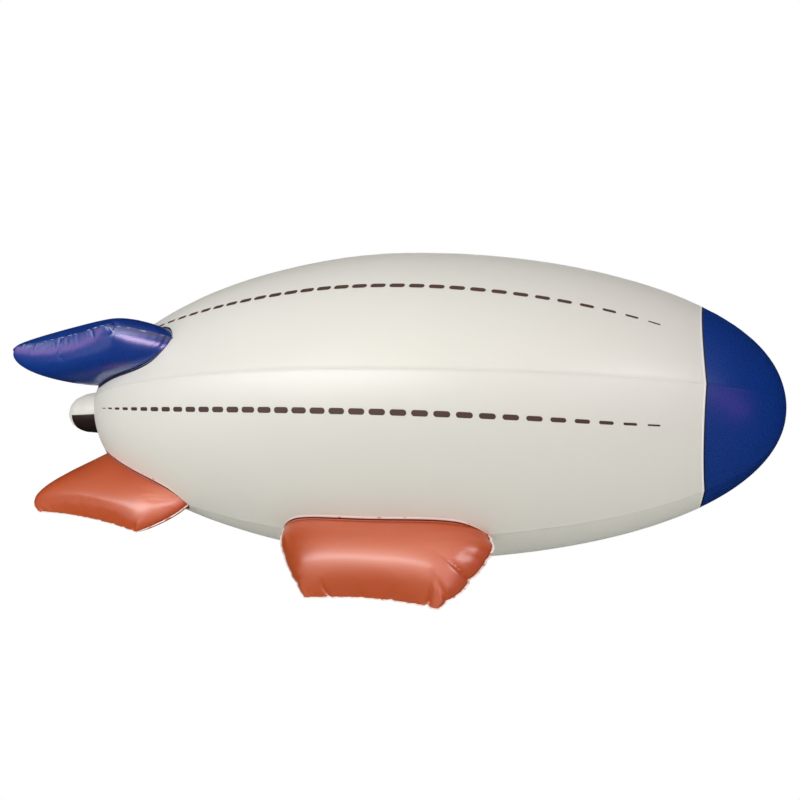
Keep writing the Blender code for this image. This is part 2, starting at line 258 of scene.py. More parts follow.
# An edge whose ends are held less than this is on the open rim
HELD = 0.99
# Mass of a point of the film in Cloth, and the share by which one round smooths its moves
FILM_MASS = 0.05
SMOOTHING = 0.8
# Strength of the marks that the film's materials read: a painted glint on a weld strip, and the dark of a
# weld, which along the pillows' roots and rims is painted shade
FOOT_GLINT_STRENGTH = 3.0
DARK_WELD_AND_SHADE = 0.8

# Mesh cells of a sheet, along and out; a fin's own seed stands in its row
FIN_CELLS = (112, 48)
GONDOLA_CELLS = (150, 64)
GONDOLA_SEED = 3
# Stance: angle of the root, lean in degrees, distance of the hinge from the axis, slope
GONDOLA_STANCE = (0, 0, 0.0, 0.0)

FINS = (
    {
        "name": "bottom", "twin": "top", "root_angle": 0, "lean": 0, "slope": 0.0, "draw_in": 0.0,
        "rear_handles": UPRIGHT_FIN_REAR_HANDLES, "form": UPRIGHT_FIN_FORM,
        "creases": UPRIGHT_FIN_CREASES, "foot": UPRIGHT_FIN_FOOT, "finish": "orange", "seed": 10,
    },
    {
        "name": "starboard", "twin": "port", "root_angle": 81.3, "lean": 70.3, "slope": 0.023,
        "draw_in": 0.024, "rear_handles": SIDE_FIN_REAR_HANDLES, "form": SIDE_FIN_FORM,
        "creases": SIDE_FIN_CREASES, "foot": SIDE_FIN_FOOT, "finish": "blue", "seed": 17,
    },
)

# Sizes of the patterns in the materials. The rollers leave a grain of about 0.3 mm on film and
# the screen a cover of about 1 mm on ink: both are drawn as coarse as they need to show.
CLOUD_MM = 280
RIM_GLINT_MM = 22
GRAIN_MM = 3
INK_MM = 6
MOTTLE_MM = 4.5
GRAIN_ROUGHNESS = 0.015
RIM_GLINT_EDGE = 0.12
# Sockets of a Mix node that mixes colours
FIRST_COLOUR, SECOND_COLOUR, MIXED_COLOUR = 6, 7, 2

# What a pillow's points carry: how firmly they are held, spare film, freedom to ripple, a painted glint
# (edge) and painted shade (seam)
LAYERS = ("held", "loose", "free", "edge", "seam")

# Camera, fitted to the photograph: low under the nose, looking up and aft
CAMERA_LENS_MM = 29.08
CAMERA_PLACE = Vector((1.1195, -1.8975, -1.6747))
CAMERA_LOOK = Vector((-0.37883, 0.68767, 0.61935))
CAMERA_UP = Vector((0.00034, -0.66913, 0.74314))
FLOOR_Z = -1.70
FLOOR_RADIUS = 30.0

# Light that comes from each side of the room: direction, colour, how sharply it falls off;
# first for the film's colour, then for its gloss, which mirrors a low window to starboard
ROOM_WALLS = (
    ((-1, 0, 0), (0.79, 0.83, 0.76), 2),
    ((0, 1, 0), (1.95, 2.35, 2.25), 2),
    ((0, 0, 1), (1.38, 1.38, 1.36), 2),
)
GLOSS_WALLS = (
    ((0, -1, 0), (2.4, 2.4, 2.1), 4),
    ((-0.423, -0.868, -0.259), (3.2, 3.2, 3.0), 24),
    ((0.47, -0.814, -0.342), (1.6, 1.1, 1.5), 14),
)
# Soft lights: name, place, what they face, width and height, watts, colour
UP = (0, 0, 1)
LIGHTS = (
    ("window_on_floor", (-1.2, -3.3, -1.68), UP, (3.2, 1.3), 76.0, (0.96, 1.0, 1.05)),
    ("floor_far_aft", (-4.2, -4.0, -1.68), UP, (2.6, 2.6), 104.0, (0.98, 0.97, 1.04)),
    ("floor_aft", (-2.6, -1.2, -1.68), UP, (1.4, 1.0), 3.0, (1.0, 0.95, 1.0)),
    ("side_window", (6.5, -6.5, -0.7), (0.5, 0.0, -0.3), (4.0, 1.6), 138.0, (1.0, 0.94, 0.98)),
    ("nose_glow", (6.0, -1.1, -1.0), (1.2, 0.0, 0.0), (2.4, 0.9), 6.0, (0.9, 0.1, 1.0)),
)
# Bright patches of floor that only the gloss of one piece shows, with their turn in degrees
GLINT_PIECE = "inflated_fin_starboard"
GLINTS = (
    ("front_rim_glint", (-0.2, -1.5, -1.68), UP, (2.3, 0.7), 82.0, (1.0, 0.70, 0.86), -39.0),
    ("outer_rim_glint", (-4.6, -2.0, -1.68), UP, (1.6, 1.0), 19.0, (1.0, 0.5, 0.9), 0.0),
    ("root_glint", (-3.4, 2.2, -0.9), (-1.2, 0.0, -0.2), (1.2, 0.8), 0.4, (1.0, 0.85, 0.95), 0.0),
)


def linear(code):
    """An sRGB hex colour as linear red, green, blue, alpha."""
    channels = [int(code[i:i + 2], 16) / 255 for i in (1, 3, 5)]
    return tuple(c / 12.92 if c <= 0.04045 else ((c + 0.055) / 1.055) ** 2.4 for c in channels) + (1.0,)


def smooth_step(share):
    share = min(max(share, 0.0), 1.0)
    return share * share * (3 - 2 * share)


# Envelope surface

def half_line(pole_x, handles):
    """Points of one half's side line, widest place to pole, as columns of x and radius."""
    run = pole_x - WIDEST_X
    along, across = handles
    points = np.array((
        (WIDEST_X, RADIUS),
        (WIDEST_X + along * run, RADIUS),
        (pole_x, across * RADIUS),
        (pole_x, 0.0),
    ))
    t = np.linspace(0, 1, LINE_POINTS)[:, None]
    weights = np.hstack(((1 - t) ** 3, 3 * t * (1 - t) ** 2, 3 * t ** 2 * (1 - t), t ** 3))
    return weights @ points


def side_line():
    """The whole side line, tail to nose: stations, radii and arc lengths."""
    tail = half_line(TAIL_POLE_X, TAIL_HANDLES)[::-1]
    nose = half_line(NOSE_POLE_X, NOSE_HANDLES)
    line = np.vstack((tail, nose[1:]))
    steps = np.hypot(*np.diff(line, axis=0).T)
    return line[:, 0], line[:, 1], np.concatenate(([0.0], np.cumsum(steps)))


SIDE_X, SIDE_R, SIDE_ARC = side_line()


def radius_at(x):
    return float(np.interp(x, SIDE_X, SIDE_R))


def arc_at(x):
    return float(np.interp(x, SIDE_X, SIDE_ARC))


def point_at_arc(arc):
    """Station and radius at an arc length from the tail pole."""
    return float(np.interp(arc, SIDE_ARC, SIDE_X)), float(np.interp(arc, SIDE_ARC, SIDE_R))


def sag(x):
    """How far the soft tail hangs below the axis at a station."""
    return SAG_PER_M2 * max(0.0, SAG_FROM_X - x) ** 2


def outward(angle):
    """Direction away from the axis at an angle from straight down."""
    turn = math.radians(angle)
    return Vector((0.0, -math.sin(turn), -math.cos(turn)))


def angle_of(y, z):
    """Angle of a point round the axis, from straight down."""
    return math.degrees(math.atan2(-y, -z))


def across_gore(angle):
    """Place across a gore, from -1 at one seam through 0 to 1 at the next."""
    return (angle % GORE_ANGLE) / GORE_ANGLE * 2 - 1


def skin_radius(x, angle):
    """Distance of the inflated skin from the axis, with its flat gores, welds and wrinkles."""
    look = settings("blimp_envelope")
    radius = radius_at(x)
    across = across_gore(angle)
    from_pole = smooth_step(radius / POLE_FADE_R)
    flatness = look.gore_flatness * (across ** 2 - 1 / 3) * from_pole
    seam = (1 - abs(across)) * math.radians(GORE_ANGLE / 2) * radius
    weld = look.weld_height * (1 - smooth_step((seam - look.weld_width / 2) / WELD_SLOPE))
    number = round(angle / GORE_ANGLE)
    side = 1 if across < 0 else -1
    fade = math.exp(-((seam / look.pucker_reach) ** 1.5)) * from_pole
    # The numbers beside the seam's number and side keep one seam's wrinkles from another's
    ripple = noise.noise(Vector((x / look.pucker_length, number * 5.3, side * 1.7 + seam * 6)))
    stretch = noise.noise(Vector((x / WRINKLED_STRETCH, number * 3.1 + 9, side)))
    gate = smooth_step(stretch * WRINKLED_CONTRAST + WRINKLED_SHARE)
    pucker = look.pucker_height * ripple * gate * fade
    turn = math.radians(angle)
    aside, up = math.sin(turn) * WAVES_ROUND, math.cos(turn) * WAVES_ROUND
    slow = noise.noise(Vector((x * WAVES_ALONG, aside, up + 4.0)))
    return radius + (flatness + weld * from_pole + pucker + look.waviness * slow * from_pole)


def skin_point(x, angle, lift=0.0):
    """Place on the inflated skin, or a little above it."""
    return Vector((x, 0.0, -sag(x))) + outward(angle) * (skin_radius(x, angle) + lift)


# Settings that a user would change

def colour_setting(name, description, code):
    return bpy.props.FloatVectorProperty(
        name=name, description=description, subtype="COLOR", size=4, default=linear(code),
        min=0.0, max=1.0,
    )


def length_setting(name, description, default):
    return bpy.props.FloatProperty(name=name, description=description, unit="LENGTH", default=default)


def number_setting(name, description, default):
    return bpy.props.FloatProperty(name=name, description=description, default=default)


def count_setting(name, description, default):
    return bpy.props.IntProperty(name=name, description=description, default=default)


class EnvelopeSettings(bpy.types.PropertyGroup):
    """Sizes and colours of the envelope's white gores and blue nose."""

    white: colour_setting("White film", "Colour of the six gores", "#E4E0D8")
    blue: colour_setting("Blue film", "Colour of the nose and the side fins", "#043385")
    row_length: length_setting("Row length", "Length of a gore's mesh rows", 9 * MM)
    film: length_setting("Film", "Thickness the film is drawn with", 1.5 * MM)
    gore_flatness: length_setting("Gore flatness", "Seam height over the middle of a gore", 8 * MM)
    weld_width: length_setting("Weld width", "Width of a lengthwise weld", 7 * MM)
    weld_height: length_setting("Weld height", "How far a weld stands proud", 0.7 * MM)
    pucker_height: length_setting("Pucker height", "Height of the wrinkles beside the welds", 2.2 * MM)
    pucker_length: length_setting("Pucker length", "Spacing of the wrinkles along a weld", 26 * MM)
    pucker_reach: length_setting("Pucker reach", "How far the wrinkles run from a weld", 22 * MM)
    waviness: length_setting("Waviness", "Slow unevenness of the inflated skin", 2 * MM)


class PrintSettings(bpy.types.PropertyGroup):
    """Sizes and colours of the printed dashes."""

    ink: colour_setting("Ink", "Colour of a dash", "#4A3129")
    outline: colour_setting("Outline", "Colour of a dash's border", "#1E1210")
    length: length_setting("Length", "Length of the longest dash", 58 * MM)
    height: length_setting("Height", "Height of the highest dash", 21 * MM)
    border: length_setting("Border", "Width of a dash's border", 3 * MM)
    lift: length_setting("Lift", "How far the ink stands off the film", 0.5 * MM)


class PillowSettings(bpy.types.PropertyGroup):
    """Sizes and colours of the fins, the gondola and the tail end."""

    orange: colour_setting("Orange film", "Colour of the gondola and the upright fins", "#C95323")
    patch: colour_setting("Patch", "Colour of the patch on the tail end", "#241512")
    rim_width: length_setting("Rim width", "Width of the flat welded rim", 6 * MM)
    rim_half: length_setting("Half rim thickness", "Half the thickness of the rim", 0.9 * MM)
    pucker: length_setting("Pucker", "Depth of the small creases along the rim", 0.45 * MM)
    frill: length_setting("Frill", "Unevenness of the rim's edge", 2 * MM)
    wave: length_setting("Wave", "How far the rim waves to either side", 2.5 * MM)
    corner_reach: length_setting("Corner reach", "How far a corner's rounding reaches", 90 * MM)
    spacing: length_setting("Crease spacing", "Usual distance between creases", 55 * MM)
    pressure: number_setting("Pressure", "Pressure that blows the sheets up", 4.0)
    growth: number_setting("Spare film", "Share by which film beside the rim is too long", 0.006)
    loose_reach: length_setting("Spare reach", "How far from the rim film is too long", 35 * MM)
    rim_hold: number_setting("Rim hold", "How firmly the rim keeps its line, from 0 to 1", 0.05)
    stiffness: number_setting("Stiffness", "Stretch stiffness of the film", 30.0)
    bending: number_setting("Bending", "Bending stiffness of the film", 0.05)
    quality: count_setting("Quality", "Cloth steps a frame", 4)
    frames: count_setting("Frames", "Frames of blowing up", 15)
    slow_rounds: count_setting("Slow rounds", "Smoothing that parts creases from the whole shape", 30)
    ripple: number_setting("Ripple", "Share of the blown-up ripples that is kept", 0.35)
    most_moved: length_setting("Most moved", "Cap on how far a crease moves a point", 18 * MM)


class StageSettings(bpy.types.PropertyGroup):
    """The floor and the lights."""

    floor: colour_setting("Floor", "Colour of the floor", "#E0DFDC")
    room: number_setting("Room light", "Strength of the light from the room's walls", 1.0)
    gloss: number_setting("Room in the gloss", "Strength of the walls that the film mirrors", 1.0)


def settings(group):
    return getattr(bpy.context.scene, group)


# Materials

def add_node(tree, kind, values=None, links=None, **options):
    """Add a node with its options, socket values and links from other nodes' sockets."""
    node = tree.nodes.new(kind)
    for name, value in options.items():
        setattr(node, name, value)
    for socket, value in (values or {}).items():
        node.inputs[socket].default_value = value
    for socket, source in (links or {}).items():
        tree.links.new(source, node.inputs[socket])
    return node


def new_material(name):
    """A node material with only a shader and an output."""
    material = bpy.data.materials.new(name)
    material.use_nodes = True
    tree = material.node_tree
    shader = tree.nodes["Principled BSDF"]
    return material, tree, shader


def shade(colour, factor):
    return tuple(c * factor for c in colour[:3]) + (1.0,)


def repeats(size_mm):
    """Noise scale for a pattern of a size in millimetres."""
    return 1 / (size_mm * MM)


def film_material(
    name, colour, roughness, coat, cloud=0.05, rim=None, seam=None, glint_from=0.4, coat_roughness=0.28
):
    """Calendered PVC film: an even colour with faint clouds, and a fine grain that breaks the gloss. A
    rim colour paints highlights where the edge mark is, broken into glints by noise; a seam colour paints
    dark welds and painted shade where the seam mark is, with less coat and more roughness there.
    """
    material, tree, shader = new_material(name)
    place = add_node(tree, "ShaderNodeTexCoord").outputs["Object"]
    clouds = add_node(
        tree, "ShaderNodeTexNoise", {"Scale": repeats(CLOUD_MM), "Detail": 3.0}, {"Vector": place}
    )
    tone = add_node(
        tree, "ShaderNodeMix",
        {FIRST_COLOUR: shade(colour, 1 - cloud), SECOND_COLOUR: shade(colour, 1 + cloud)},
        {"Factor": clouds.outputs["Fac"]}, data_type="RGBA",
    ).outputs[MIXED_COLOUR]
    shader.inputs["Coat Weight"].default_value = coat
    marks = []
    # Painted highlight: the rim colour where the edge mark is, broken into glints by noise
    if rim:
        glint_mask = add_node(tree, "ShaderNodeAttribute", attribute_name="edge")
        gaps = add_node(
            tree, "ShaderNodeTexNoise", {"Scale": repeats(RIM_GLINT_MM), "Detail": 2.0}, {"Vector": place}
        )
        kept = add_node(
            tree, "ShaderNodeMapRange",
            {"From Min": glint_from, "From Max": glint_from + RIM_GLINT_EDGE, "To Min": 0.1, "To Max": 1.0},
            {"Value": gaps.outputs["Fac"]},
        )
        pale = add_node(
            tree, "ShaderNodeMath", None, {0: glint_mask.outputs["Fac"], 1: kept.outputs["Result"]},
            operation="MULTIPLY",
        )
        marks.append((rim, pale.outputs[0]))
    # Dark welds and painted shade: the seam colour where the seam mark is, with less coat
    if seam:
        weld_and_shade = add_node(tree, "ShaderNodeAttribute", attribute_name="seam").outputs["Fac"]
        marks.append((seam, weld_and_shade))
        dull = add_node(tree, "ShaderNodeMapRange", {"To Min": coat, "To Max": 0.0}, {"Value": weld_and_shade})
        tree.links.new(dull.outputs["Result"], shader.inputs["Coat Weight"])
    for mark, factor in marks:
        tone = add_node(
            tree, "ShaderNodeMix", {SECOND_COLOUR: mark}, {"Factor": factor, FIRST_COLOUR: tone},
            data_type="RGBA",
        ).outputs[MIXED_COLOUR]
    tree.links.new(tone, shader.inputs["Base Color"])
    shader.inputs["IOR"].default_value = 1.53
    shader.inputs["Coat Roughness"].default_value = coat_roughness
    grain = add_node(
        tree, "ShaderNodeTexNoise", {"Scale": repeats(GRAIN_MM), "Detail": 2.0}, {"Vector": place}
    )
    least, most = roughness - GRAIN_ROUGHNESS, roughness + GRAIN_ROUGHNESS
    rough = add_node(
        tree, "ShaderNodeMapRange", {"From Min": 0.3, "From Max": 0.7, "To Min": least, "To Max": most},
        {"Value": grain.outputs["Fac"]},
    ).outputs["Result"]
    if seam:
        rough = add_node(
            tree, "ShaderNodeMath", {1: 0.5}, {0: weld_and_shade, 2: rough}, operation="MULTIPLY_ADD",
            use_clamp=True,
        ).outputs[0]
    tree.links.new(rough, shader.inputs["Roughness"])
    bump = add_node(
        tree, "ShaderNodeBump", {"Strength": 0.07, "Distance": 0.05 * MM},
        {"Height": grain.outputs["Fac"]},
    )
    tree.links.new(bump.outputs["Normal"], shader.inputs["Normal"])
    return material


def mottled_material(name, colour, roughness, size_mm, detail, darkest, lightest):
    """Ink or moulded plastic: one colour with a faint mottle of a size in millimetres."""
    material, tree, shader = new_material(name)
    place = add_node(tree, "ShaderNodeTexCoord").outputs["Object"]
    mottle = add_node(
        tree, "ShaderNodeTexNoise", {"Scale": repeats(size_mm), "Detail": detail}, {"Vector": place}
    )
    tone = add_node(
        tree, "ShaderNodeMix",
        {FIRST_COLOUR: shade(colour, darkest), SECOND_COLOUR: shade(colour, lightest)},
        {"Factor": mottle.outputs["Fac"]}, data_type="RGBA",
    )
    tree.links.new(tone.outputs[MIXED_COLOUR], shader.inputs["Base Color"])
    shader.inputs["Roughness"].default_value = roughness
    return material


MATERIALS = {}


def materials():
    """Every finish of the balloon by its name, made once."""
    if not MATERIALS:
        envelope, pillow = settings("blimp_envelope"), settings("blimp_pillow")
        dashes = settings("blimp_print")
        MATERIALS.update({
            # White calendered PVC: satin from the rollers, so its highlights are wide and soft; its rim
            # colour paints a highlight line along the nose border
            "white": film_material(
                "white_calendered_pvc", envelope.white, 0.36, 0.15, cloud=0.015,
                rim=linear("#FFFFFF"), glint_from=0.2,
            ),
            # Blue PVC, laminated smooth: deep colour, small clear highlights, dark pressed welds; its rim
            # colour paints glints on the fins' rims, and its seam colour also paints shade at the fins'
            # roots and inside their rims
            "blue": film_material(
                "blue_laminated_pvc", envelope.blue, 0.28, 0.25,
                rim=linear("#B4BEEC"), seam=linear("#02051E"), glint_from=0.52,
            ),
            # Orange PVC, laminated: a clear coat over it gives one broad bright band on a pillow; its rim
            # colour paints glints on the rims and weld strips, and its seam colour paints shade at the
            # roots and inside the rims
            "orange": film_material(
                "orange_laminated_pvc", pillow.orange, 0.34, 0.75,
                rim=linear("#FFEDE4"), seam=linear("#701206"), glint_from=0.34, coat_roughness=0.22,
            ),
            # Dark PVC patch, glued over the sleeve: the same film, almost without a coat
            "patch": film_material("dark_glued_pvc", pillow.patch, 0.42, 0.1),
            # Screen-printed vinyl ink: a thin dry layer, duller than the film round it
            "ink": mottled_material("screen_printed_ink", dashes.ink, 0.38, INK_MM, 3.0, 0.85, 1.2),
            "outline": mottled_material(
                "screen_printed_outline", dashes.outline, 0.45, INK_MM, 3.0, 0.85, 1.2
            ),
            # Moulded PVC valve: a soft, slightly waxy shine
            "valve": mottled_material(
                "moulded_pvc_valve", linear("#C9C8C4"), 0.4, MOTTLE_MM, 2.0, 0.92, 1.06
            ),
        })
    return MATERIALS


# Finishing pieces

def new_object(name, bm):
    """An object in the scene with the mesh as it is now."""
    mesh = bpy.data.meshes.new(name)
    bm.to_mesh(mesh)
    thing = bpy.data.objects.new(name, mesh)
    bpy.context.scene.collection.objects.link(thing)
    return thing


def take_in(bm, part):
    """Move a part's mesh into another, layers and all."""
    carrier = bpy.data.meshes.new("carrier")
    part.to_mesh(carrier)
    part.free()
    bm.from_mesh(carrier)
    bpy.data.meshes.remove(carrier)


def finish_piece(name, bm, finishes, nodes, smooth_angle=40):
    """Make the object, give it its materials and tell the frame what it stands for."""
    piece = new_object(name, bm)
    bm.free()
    mesh = piece.data
    mesh.shade_smooth()
    mesh.set_sharp_from_angle(angle=math.radians(smooth_angle))
    for finish in finishes:
        mesh.materials.append(materials()[finish])
    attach(piece, "root")
    if nodes:
        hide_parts(*nodes)
    return piece


def thicken(piece, thickness):
    """Give a skin its thickness, inwards."""
    wall = piece.modifiers.new("film", "SOLIDIFY")
    wall.thickness = thickness
    wall.offset = -1.0
    wall.use_rim = True


def inside_out(face):
    """Whether a face of the skin looks towards the envelope's axis."""
    middle = face.calc_center_median()
    return face.normal.dot(middle - Vector((middle.x, 0, 0))) < 0


def turned_line(bm, outline, start, stretches, merged=False):
    """An outline of stations and radii turned about the axis in stretches of degrees and steps."""
    verts = [bm.verts.new(Vector((x, 0, 0)) + outward(start) * radius) for x, radius in outline]
    geometry = verts + [bm.edges.new(pair) for pair in zip(verts, verts[1:])]
    for angle, steps in stretches:
        turned = bmesh.ops.spin(
            bm, geom=geometry, cent=(0, 0, 0), axis=(1, 0, 0), angle=-math.radians(angle),
            steps=steps, use_merge=merged,
        )
        geometry = turned["geom_last"]


# Gores

def border_shift(angle):
    """The nose's border runs straight across each flat-cut gore, so it reaches further at the seams."""
    return BORDER_BEND * (across_gore(angle) ** 2 - 1 / 3)


def gore_skin(finish, node, number, arcs):
    """One gore between two seams and two arc lengths; one end follows the border."""
    start = number * GORE_ANGLE
    outline = [point_at_arc(arc) for arc in arcs]
    bm = bmesh.new()
    white = finish == "white"
    line = bm.verts.layers.float.new("edge" if white else "seam")
    border = arcs[-1] if white else arcs[0]
    turned_line(bm, outline, start, GORE_STRETCHES)
    bmesh.ops.remove_doubles(bm, verts=bm.verts, dist=0.05 * MM)
    first_x, last_x = outline[0][0], outline[-1][0]
    for vert in bm.verts:
        x = vert.co.x
        offset = (angle_of(vert.co.y, vert.co.z) % 360 - start + 180) % 360 - 180
        offset = min(max(offset, 0.0), GORE_ANGLE)
        inside = start + min(max(offset, INSIDE_SEAM), GORE_ANGLE - INSIDE_SEAM)
        at_seam = min(abs(offset), abs(offset - GORE_ANGLE)) < ON_SEAM and not white
        on_border = abs(arc_at(x) - border) < BORDER_LINE * ON_BORDER
        # The white side of the nose border gets a painted highlight line; the blue side gets a dark line
        # there and dark welds along its seams
        vert[line] = 1.0 if on_border else DARK_WELD_AND_SHADE * at_seam
        from_border = last_x - x if white else x - first_x
        x += border_shift(inside) * smooth_step((BORDER_REACH - from_border) / BORDER_REACH)
        if vert.co.yz.length < TINY:
            vert.co = Vector((x, 0, -sag(x)))
        else:
            away = outward(start + offset) * skin_radius(x, inside)
            vert.co = Vector((x, 0.0, -sag(x))) + away
    bmesh.ops.recalc_face_normals(bm, faces=bm.faces)
    bm.faces.ensure_lookup_table()
    if inside_out(bm.faces[len(bm.faces) // 2]):
        bmesh.ops.reverse_faces(bm, faces=bm.faces)
    label = number + 1
    piece = finish_piece(
        f"{finish}_gore_{label}", bm, [finish], [f"{node}_{label}"]
    )
    thicken(piece, settings("blimp_envelope").film)


class BLIMP_OT_gores(bpy.types.Operator):
    """Weld up the envelope: six white gores and six blue nose gores"""

    bl_idname = "blimp.gores"
    bl_label = "Envelope gores"

    def execute(self, context):
        row = settings("blimp_envelope").row_length
        hole_arc = float(np.interp(SLEEVE_R, SIDE_R[:LINE_POINTS], SIDE_ARC[:LINE_POINTS]))
        border_arc = arc_at(BORDER_X)
        white_rows = int((border_arc - hole_arc) / row)
        blue_rows = int((SIDE_ARC[-1] - border_arc) / row)
        line = BORDER_LINE * np.array(BORDER_ROWS)
        white = np.linspace(hole_arc, border_arc - 2 * BORDER_LINE, white_rows + 1)
        white = np.concatenate((white, border_arc - line[::-1]))
        blue = np.linspace(border_arc + 2 * BORDER_LINE, SIDE_ARC[-1], blue_rows + 1)
        blue = np.concatenate((border_arc + line, blue))
        for number in range(GORES):
            gore_skin("white", "envelope_panel", number, white)
            gore_skin("blue", "nose_panel", number, blue)
        return {"FINISHED"}


# Printed dashes

def dash_size(arc):
    """Length and height of a dash: both fall off towards the ends of a line."""
    look = settings("blimp_print")
    away = (arc - DASH_MIDDLE_ARC) / DASH_REACH
    return look.length * (1 - DASH_SHORTENING * away ** 2), look.height * (1 - abs(away) ** 3)


def dash_outline(bm, length, height):
    """A flat stadium around the origin with a border, cut along its length so that it can bend."""
    made = bmesh.ops.create_grid(bm, x_segments=1, y_segments=1, size=0.5)
    bmesh.ops.scale(bm, vec=(length, height, 1), verts=made["verts"])
    bmesh.ops.bevel(
        bm, geom=made["verts"], affect="VERTICES", offset=height * DASH_END_ROUNDING, segments=5,
        profile=0.5, material=-1,
    )
    bmesh.ops.remove_doubles(bm, verts=bm.verts, dist=0.02 * MM)
    border = min(settings("blimp_print").border, height * DASH_MOST_BORDER)
    for face in bm.faces:
        face.material_index = 1
    inner = bm.faces[:]
    bmesh.ops.inset_region(bm, faces=inner, thickness=border, use_even_offset=True)
    for face in inner:
        face.material_index = 0
    cuts = [((share * length, 0, 0), (1, 0, 0)) for share in DASH_CUTS_ALONG]
    cuts += [((0, share * height, 0), (0, 1, 0)) for share in DASH_CUTS_ACROSS]
    for place, facing in cuts:
        geometry = bm.verts[:] + bm.edges[:] + bm.faces[:]
        bmesh.ops.bisect_plane(bm, geom=geometry, plane_co=place, plane_no=facing)


def dash_line(name, angle, changes, side):
    """A line of dashes along the envelope, laid on its skin."""
    bm = bmesh.new()
    lift = settings("blimp_print").lift
    first, second, third = changes
    for number in range(DASH_COUNT):
        arc = DASH_FIRST_ARC + number * DASH_PITCH
        length, height = dash_size(arc)
        t = (arc - DASH_MIDDLE_ARC) / DASH_TURN_REACH
        turn = angle + first * t + second * t ** 2 + third * t ** 3
        slope = math.radians(first + 2 * second * t + 3 * third * t ** 2) / DASH_TURN_REACH
        part = bmesh.new()
        dash_outline(part, length, height)
        for vert in part.verts:
            x, radius = point_at_arc(arc + vert.co.x)
            along = turn + math.degrees(slope * vert.co.x + vert.co.y / radius)
            vert.co = skin_point(x, side * along, lift)
        take_in(bm, part)
    for face in bm.faces:
        if inside_out(face):
            face.normal_flip()
    finish_piece(name, bm, ["ink", "outline"], [])


class BLIMP_OT_dashes(bpy.types.Operator):
    """Print the dashed lines on both sides of the envelope"""

    bl_idname = "blimp.dashes"
    bl_label = "Printed dashes"

    def execute(self, context):
        for name, angle, changes in DASH_LINES:
            for side, sign in (("starboard", 1), ("port", -1)):
                dash_line(f"dashes_{name}_{side}", angle, changes, sign)
        return {"FINISHED"}


# Tail end

def smooth_outline(outline, count):
    """Points along an outline, rounded between its corners and evenly spread."""
    points = np.array(outline)
    steps = np.concatenate(([0.0], np.cumsum(np.hypot(*np.diff(points, axis=0).T))))
    even = np.linspace(0, steps[-1], count)
    fine = np.linspace(0, steps[-1], OUTLINE_FINENESS * count)
    reach = steps[-1] / count
    columns = []
    for column in range(2):
        values = np.interp(fine, steps, points[:, column])
        rounded = [
            np.average(values, weights=np.exp(-((fine - place) / reach) ** 2)) for place in even
        ]
        rounded[0], rounded[-1] = points[0, column], points[-1, column]
        columns.append(rounded)
    return list(zip(*columns))


def lay_sagging(bm, wave=0.0):
    """Close a turned piece and drop it by the tail's sag, with a slow wave in its radius."""
    bmesh.ops.remove_doubles(bm, verts=bm.verts, dist=0.01 * MM)
    for vert in bm.verts:
        radius = vert.co.yz.length
        if wave and radius > SLEEVE_WAVE_FROM_R:
            stretch = 1 + wave / radius * noise.noise(vert.co * SLEEVE_WAVES_PER_M)
            vert.co.y *= stretch
            vert.co.z *= stretch
        vert.co.z -= sag(vert.co.x)
    bmesh.ops.recalc_face_normals(bm, faces=bm.faces)


class BLIMP_OT_tail_end(bpy.types.Operator):
    """Build the tail end: the sleeve, its dark patch and the filling valve"""

    bl_idname = "blimp.tail_end"
    bl_label = "Tail end"

    def execute(self, context):
        bm = bmesh.new()
        rows, steps = SLEEVE_CELLS
        outline = smooth_outline(SLEEVE_OUTLINE, rows) + [SLEEVE_MOUTH]
        turned_line(bm, outline, 0.0, ((360.0, steps),), merged=True)
        lay_sagging(bm, wave=SLEEVE_WAVE)
        sleeve = finish_piece("tail_sleeve", bm, ["white"], ["tail_end"])
        thicken(sleeve, settings("blimp_envelope").film)
        bm = bmesh.new()
        rows, steps = PATCH_CELLS
        outline = [
            (x, radius + PATCH_LIFT) for x, radius in smooth_outline(SLEEVE_OUTLINE, rows)
            if PATCH_X[0] < x < PATCH_X[1]
        ]
        turned_line(bm, outline, -PATCH_HALF_ANGLE, ((2 * PATCH_HALF_ANGLE, steps),))
        lay_sagging(bm)
        patch = finish_piece("underside_patch", bm, ["patch"], ["tail_patch"])
        thicken(patch, PATCH_THICKNESS)
        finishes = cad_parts["filling_valve"].data.materials
        finishes.clear()
        finishes.append(materials()["valve"])
        return {"FINISHED"}


# Pillows

def bent_line(start, middle, stop, share):
    """Curve from start to stop that passes through middle half way."""
    control = 2 * Vector(middle) - (Vector(start) + Vector(stop)) / 2
    rest = 1 - share
    return rest * rest * Vector(start) + 2 * rest * share * control + share * share * Vector(stop)


def cubic_line(start, first_handle, second_handle, stop, share):
    rest = 1 - share
    weights = (rest ** 3, 3 * rest ** 2 * share, 3 * rest * share ** 2, share ** 3)
    points = (start, first_handle, second_handle, stop)
    return sum((w * Vector(p) for w, p in zip(weights, points)), Vector((0, 0)))


def side_at(side, share):
    """Point along a side: three points are a bend through the middle one, four a cubic."""
    return bent_line(*side, share) if len(side) == 3 else cubic_line(*side, share)


def middle_of(a, b):
    return ((a[0] + b[0]) / 2, (a[1] + b[1]) / 2)


def moved(point, shift):
    return (point[0] + shift, point[1])


def fin_sides(draw_in, rear_handles):
    """The four lines round a fin; root and outer run front to rear."""
    tip_front = moved(FIN_TIP_FRONT, -draw_in)
    tip_rear = moved(FIN_TIP_REAR, draw_in)
    first_handle, second_handle = rear_handles
    return {
        "root": (FIN_ROOT_FRONT, middle_of(FIN_ROOT_FRONT, FIN_ROOT_REAR), FIN_ROOT_REAR),
        "outer": (tip_front, FIN_OUTER_MID, tip_rear),
        "front": (FIN_ROOT_FRONT, moved(FIN_FRONT_BEND, -draw_in / 2), tip_front),
        "rear": (FIN_ROOT_REAR, first_handle, moved(second_handle, draw_in), tip_rear),
    }


